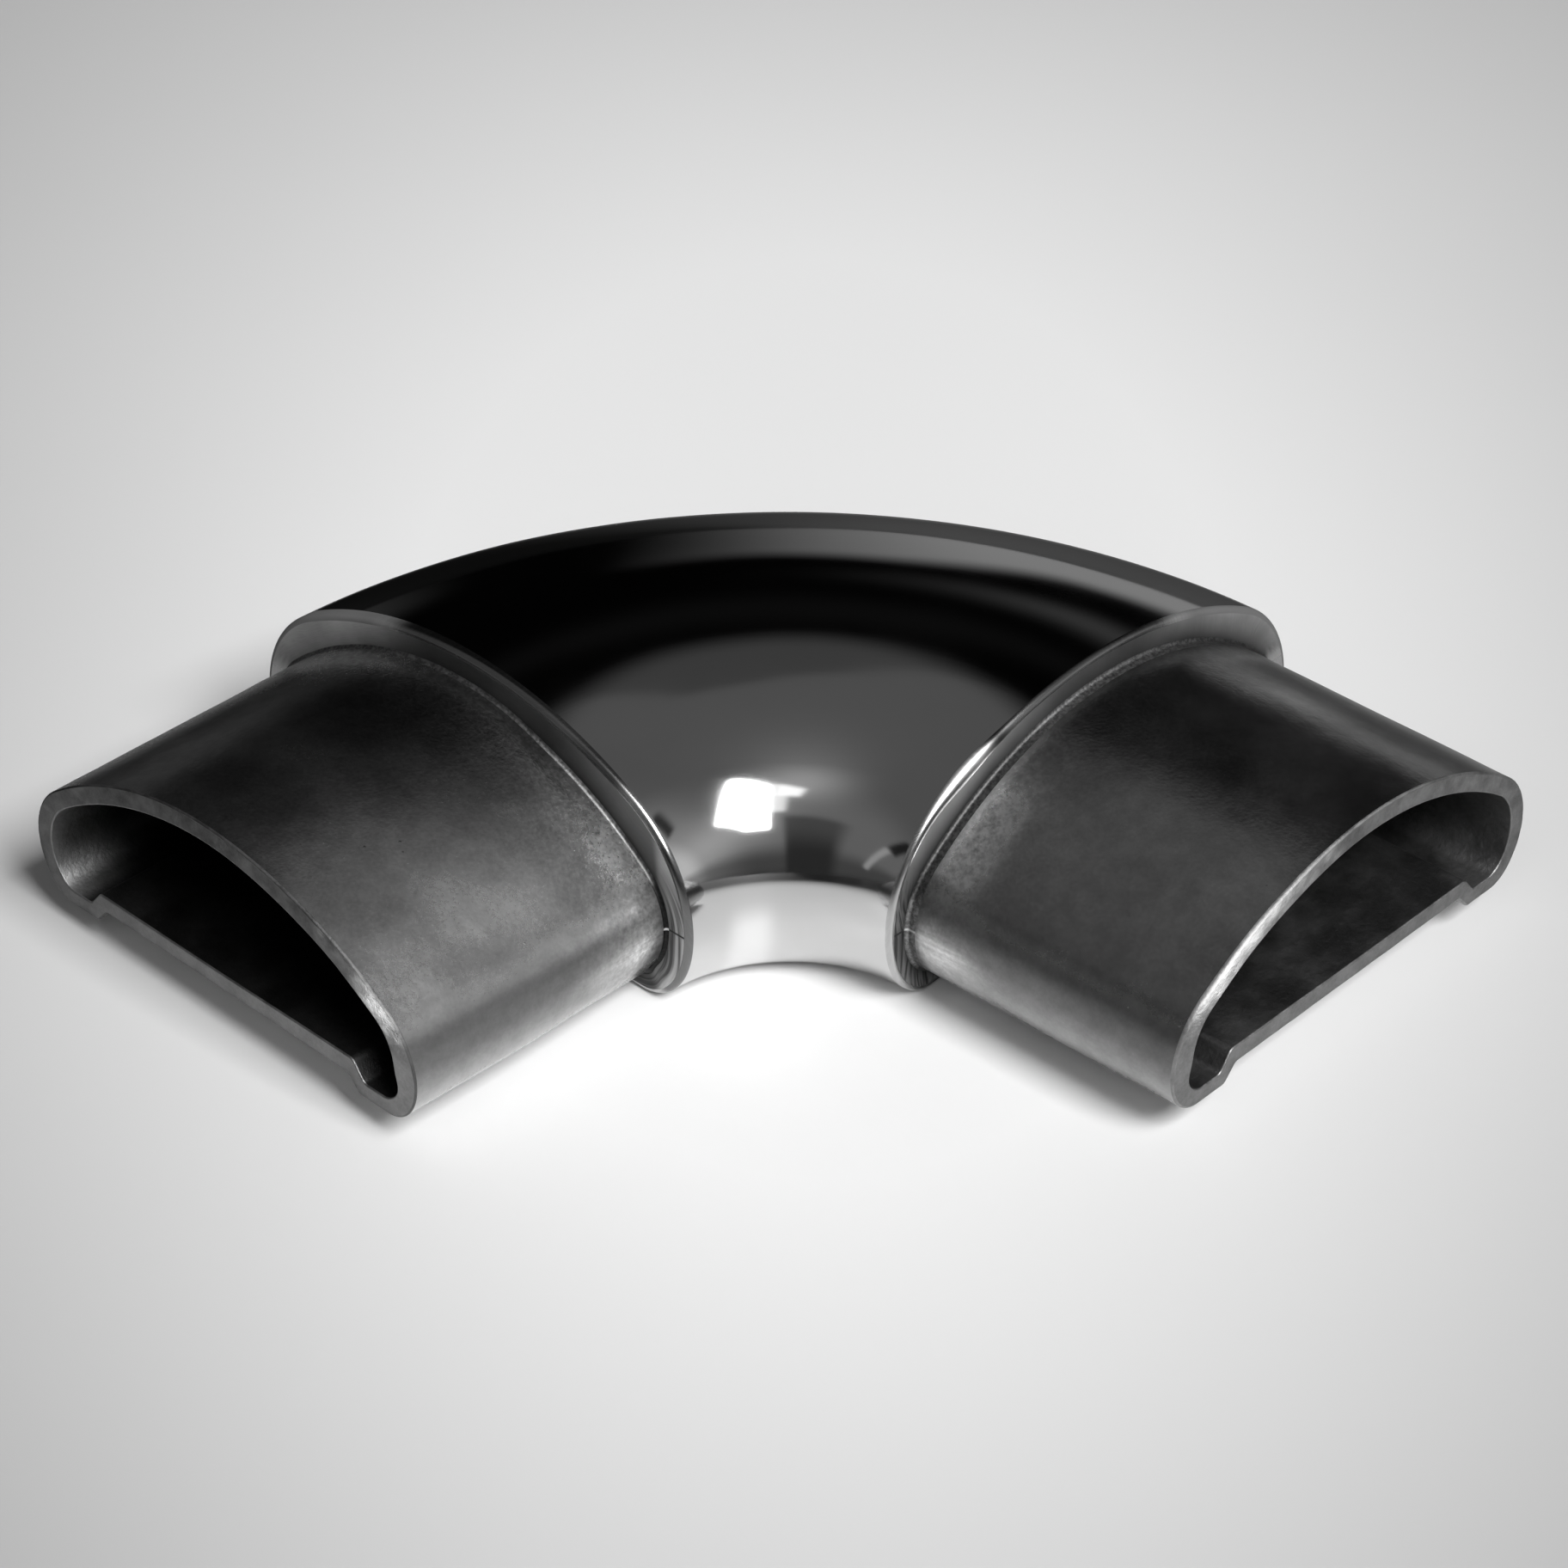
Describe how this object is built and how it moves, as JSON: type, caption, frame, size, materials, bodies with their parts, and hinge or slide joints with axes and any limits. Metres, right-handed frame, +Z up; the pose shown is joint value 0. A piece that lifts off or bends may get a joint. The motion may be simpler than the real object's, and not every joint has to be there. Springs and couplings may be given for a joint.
{
  "type": "handrail tube joiner",
  "caption": "Hollow one-piece elbow for a D-section handrail: a polished quarter-turn bend with a smaller hollow spigot at each end that a rail tube slides over up to the shoulder.",
  "frame": {"origin": "centre of the part's box, at the flat underside it lies on", "axes": "+Z up from the underside to the dome; one spigot points along +X and the other along -Y, so the bend's outside faces -X and +Y"},
  "size_m": [0.087, 0.087, 0.0227],
  "materials": {
    "stainless_casting": "bend mirror polished, spigots satin as blasted"
  },
  "bodies": {
    "root": {"elbow_body": "stainless_casting"}
  },
  "joints": []
}
